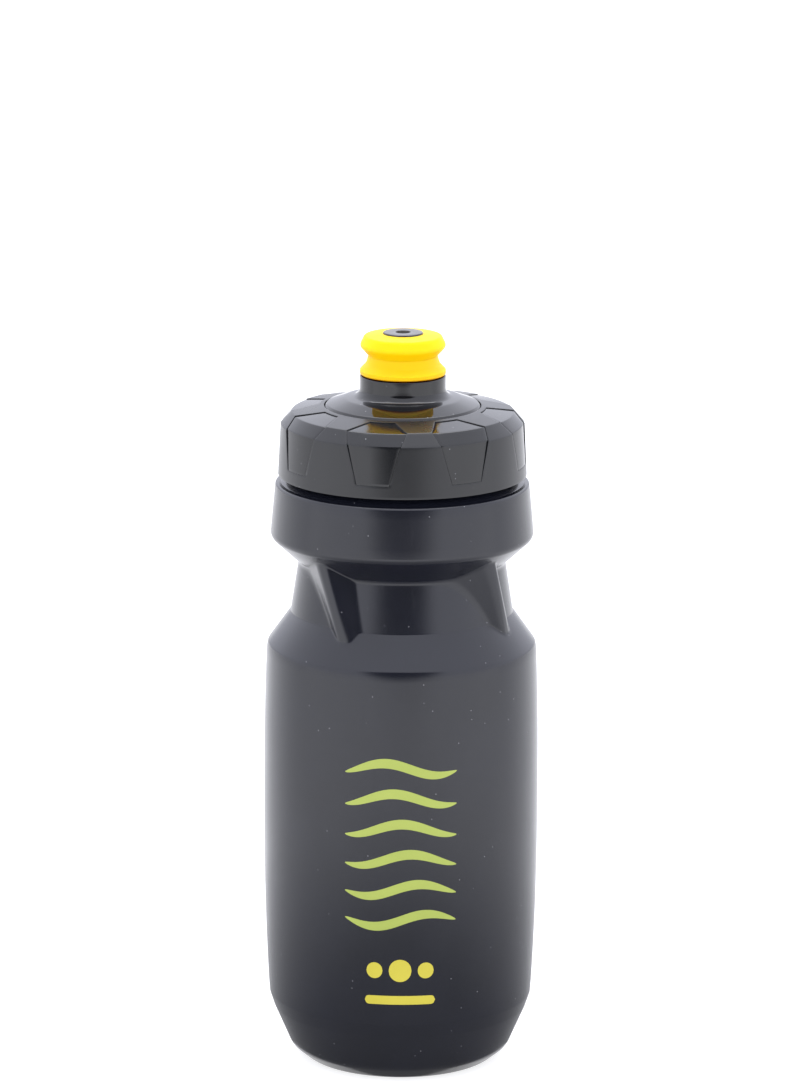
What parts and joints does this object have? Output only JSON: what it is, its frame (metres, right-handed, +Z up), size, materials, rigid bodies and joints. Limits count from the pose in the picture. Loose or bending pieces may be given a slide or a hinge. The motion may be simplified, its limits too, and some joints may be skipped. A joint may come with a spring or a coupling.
{
  "type": "sports squeeze bottle",
  "caption": "Squeeze drinking bottle for a bicycle cage, with a ribbed waist, a screw cap with a windowed grip sleeve, and a push-pull spout.",
  "frame": {"origin": "centre of the base, on the surface that the bottle stands on", "axes": "+Z up along the bottle's axis, -Y towards the printed front, +X to the right seen from the front"},
  "size_m": [0.0738, 0.0738, 0.1998],
  "materials": {
    "bottle_plastic": "satin charcoal squeezable polyethylene",
    "gasket_rubber": "natural translucent soft seal",
    "cap_gloss": "polished black polypropylene",
    "cap_grip": "satin black overmoulded grip",
    "post_plastic": "semi-gloss black polypropylene",
    "nozzle_hard": "smooth yellow polypropylene",
    "nozzle_soft": "soft satin yellow elastomer, slightly translucent",
    "seal_rubber": "black lubricated rubber",
    "print_lime": "lime screen print on the front of the bottle",
    "print_yellow": "yellow screen print on the front of the bottle"
  },
  "bodies": {
    "bottle": {"bottle_body": "bottle_plastic"},
    "cap_seal": {"cap_gasket": "gasket_rubber"},
    "cap": {"cap_shell": "cap_gloss", "cap_grip_sleeve": "cap_grip", "valve_post": "post_plastic"},
    "nozzle": {"nozzle_core": "nozzle_hard", "nozzle_bite": "nozzle_soft", "nozzle_o_ring": "seal_rubber"}
  },
  "joints": [
    {"name": "cap_rise", "type": "slide", "parent": "bottle", "child": "cap_seal", "axis": [0, 0, 1], "range_m": [0, 0.0135]},
    {"name": "cap_turn", "type": "hinge", "parent": "cap_seal", "child": "cap", "pos_m": [0, 0, 0.168], "axis": [0, 0, 1], "range_deg": [0, 1080]},
    {"name": "nozzle_pull", "type": "slide", "parent": "cap", "child": "nozzle", "axis": [0, 0, 1], "range_m": [0, 0.006]}
  ],
  "couplings": [
    {"joint": "cap_rise", "follows": "cap_turn", "m_per_rad": 0.0007162}
  ]
}
